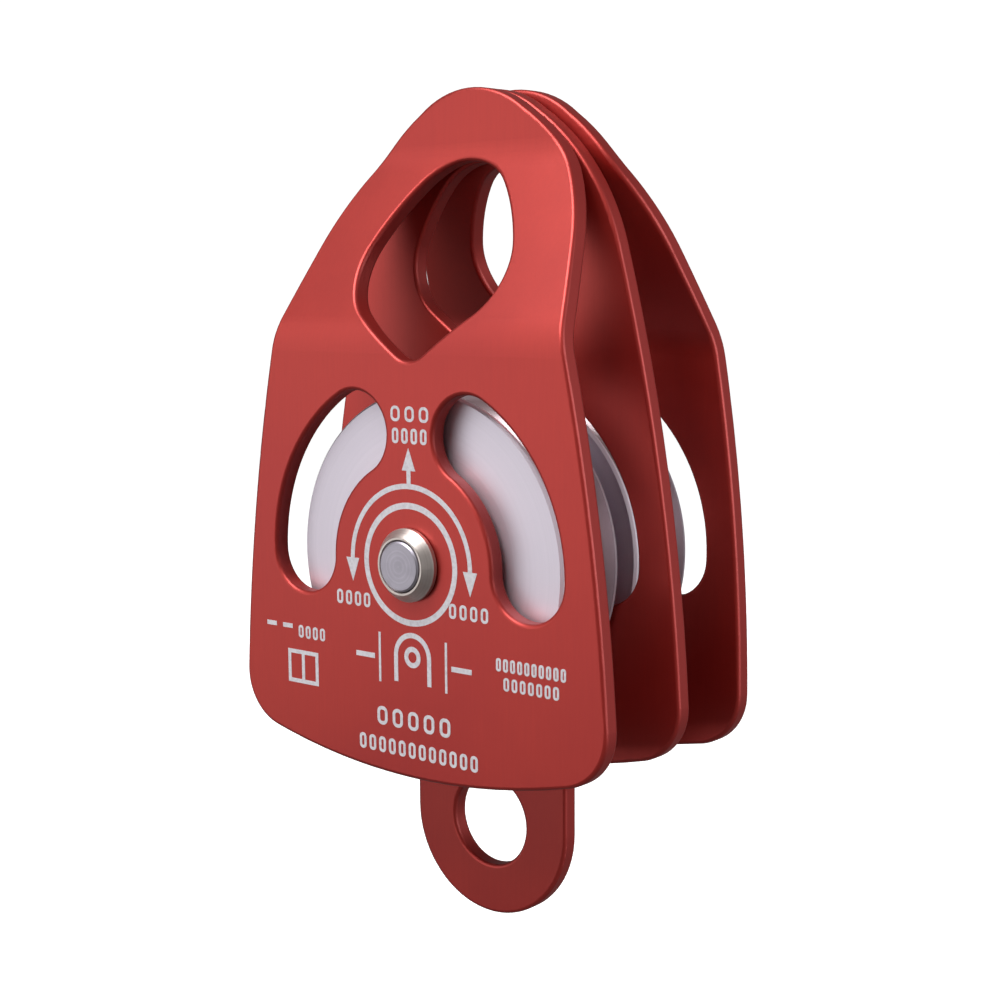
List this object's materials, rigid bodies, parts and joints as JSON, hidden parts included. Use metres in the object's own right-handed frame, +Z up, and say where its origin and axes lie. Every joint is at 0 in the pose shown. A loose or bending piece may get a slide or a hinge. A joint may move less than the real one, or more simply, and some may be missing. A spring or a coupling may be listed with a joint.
{
  "type": "double rope pulley with becket",
  "caption": "Double rope pulley: grooved sheaves on one axle between a flat middle plate and swinging joggled cheeks, with a shared carabiner eye above and a becket eye below.",
  "frame": {"origin": "the carabiner's seat: the top of the carabiner eye, at half the middle plate's thickness", "axes": "+Z up from the becket to the carabiner, +Y along the axle from the front cheek to the rear cheek, +X across the plates"},
  "size_m": [0.1009, 0.061, 0.1789],
  "materials": {
    "red_plate": "satin red anodised",
    "axle_steel": "turned end face",
    "collar_steel": "turned, bright",
    "spacer_bronze": "turned",
    "bearing_steel": "ground",
    "ball_steel": "polished",
    "cage_polymer": "moulded",
    "shield_steel": "pressed",
    "spring_steel": "blackened",
    "sheave_aluminium": "satin turned"
  },
  "bodies": {
    "middle_frame": {"middle_plate": "red_plate", "axle_pin": "axle_steel", "front_collar": "collar_steel", "front_outer_spacer": "spacer_bronze", "front_inner_spacer": "spacer_bronze", "front_inner_race": "bearing_steel", "rear_collar": "collar_steel", "rear_outer_spacer": "spacer_bronze", "rear_inner_spacer": "spacer_bronze", "rear_inner_race": "bearing_steel"},
    "front_swing_cheek": {"front_cheek": "red_plate"},
    "front_wheel": {"front_sheave": "sheave_aluminium", "front_outer_race": "bearing_steel", "front_outer_shield": "shield_steel", "front_inner_shield": "shield_steel", "front_retaining_ring": "spring_steel"},
    "front_ball_set": {"front_balls": "ball_steel", "front_cage": "cage_polymer"},
    "rear_swing_cheek": {"rear_cheek": "red_plate"},
    "rear_wheel": {"rear_sheave": "sheave_aluminium", "rear_outer_race": "bearing_steel", "rear_outer_shield": "shield_steel", "rear_inner_shield": "shield_steel", "rear_retaining_ring": "spring_steel"},
    "rear_ball_set": {"rear_balls": "ball_steel", "rear_cage": "cage_polymer"}
  },
  "joints": [
    {"name": "front_cheek_swing", "type": "hinge", "parent": "middle_frame", "child": "front_swing_cheek", "pos_m": [0, 0, -0.0846], "axis": [0, 1, 0], "continuous": true},
    {"name": "front_sheave_spin", "type": "hinge", "parent": "middle_frame", "child": "front_wheel", "pos_m": [0, 0, -0.0846], "axis": [0, 1, 0], "continuous": true},
    {"name": "front_ball_orbit", "type": "hinge", "parent": "middle_frame", "child": "front_ball_set", "pos_m": [0, 0, -0.0846], "axis": [0, 1, 0], "continuous": true},
    {"name": "rear_cheek_swing", "type": "hinge", "parent": "middle_frame", "child": "rear_swing_cheek", "pos_m": [0, 0, -0.0846], "axis": [0, 1, 0], "continuous": true},
    {"name": "rear_sheave_spin", "type": "hinge", "parent": "middle_frame", "child": "rear_wheel", "pos_m": [0, 0, -0.0846], "axis": [0, 1, 0], "continuous": true},
    {"name": "rear_ball_orbit", "type": "hinge", "parent": "middle_frame", "child": "rear_ball_set", "pos_m": [0, 0, -0.0846], "axis": [0, 1, 0], "continuous": true}
  ],
  "couplings": [
    {"joint": "front_ball_orbit", "follows": "front_sheave_spin", "ratio": 0.6295},
    {"joint": "rear_ball_orbit", "follows": "rear_sheave_spin", "ratio": 0.6295}
  ]
}
